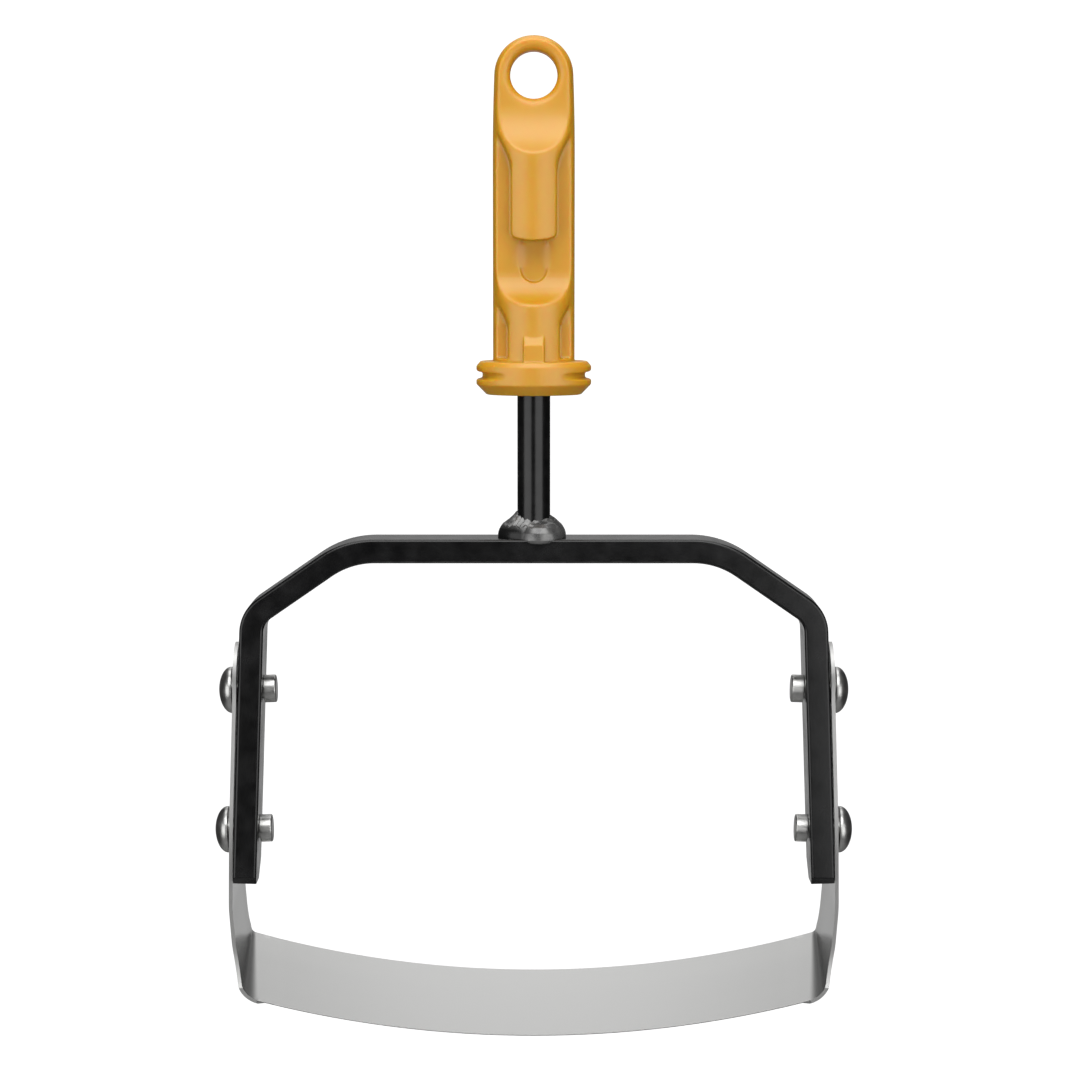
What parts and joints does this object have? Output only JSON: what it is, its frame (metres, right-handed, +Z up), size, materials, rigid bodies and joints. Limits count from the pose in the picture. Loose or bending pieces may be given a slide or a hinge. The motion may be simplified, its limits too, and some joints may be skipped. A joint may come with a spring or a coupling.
{
  "type": "oscillating hoe head",
  "caption": "Snap-in oscillating hoe head: a sharpened stirrup blade swings on rivets under a bent flat bar, with a grooved plastic connector and hanging loop.",
  "frame": {"origin": "centre of the collar's upper face, on the rod's axis, where the handle's socket ends", "axes": "+Z up the connector to its hanging loop, +X to the right of the bent bar, -Y to the front"},
  "size_m": [0.195, 0.06, 0.3083],
  "materials": {
    "yellow_plastic": "satin moulded",
    "black_paint": "satin black paint",
    "painted_weld": "glossy black paint over a weld",
    "satin_steel": "satin",
    "bright_steel": "bright"
  },
  "bodies": {
    "head": {"connector": "yellow_plastic", "shank_rod": "black_paint", "weld_bead": "painted_weld", "bow": "black_paint", "left_pivot_rivet": "bright_steel", "left_pivot_collar": "bright_steel", "left_guide_rivet": "bright_steel", "left_guide_collar": "bright_steel", "right_pivot_rivet": "bright_steel", "right_pivot_collar": "bright_steel", "right_guide_rivet": "bright_steel", "right_guide_collar": "bright_steel"},
    "blade": {"blade": "satin_steel"}
  },
  "joints": [
    {"name": "blade_swing", "type": "hinge", "parent": "head", "child": "blade", "pos_m": [0, 0, -0.1007], "axis": [-1, 0, 0], "range_deg": [0, 26]}
  ]
}
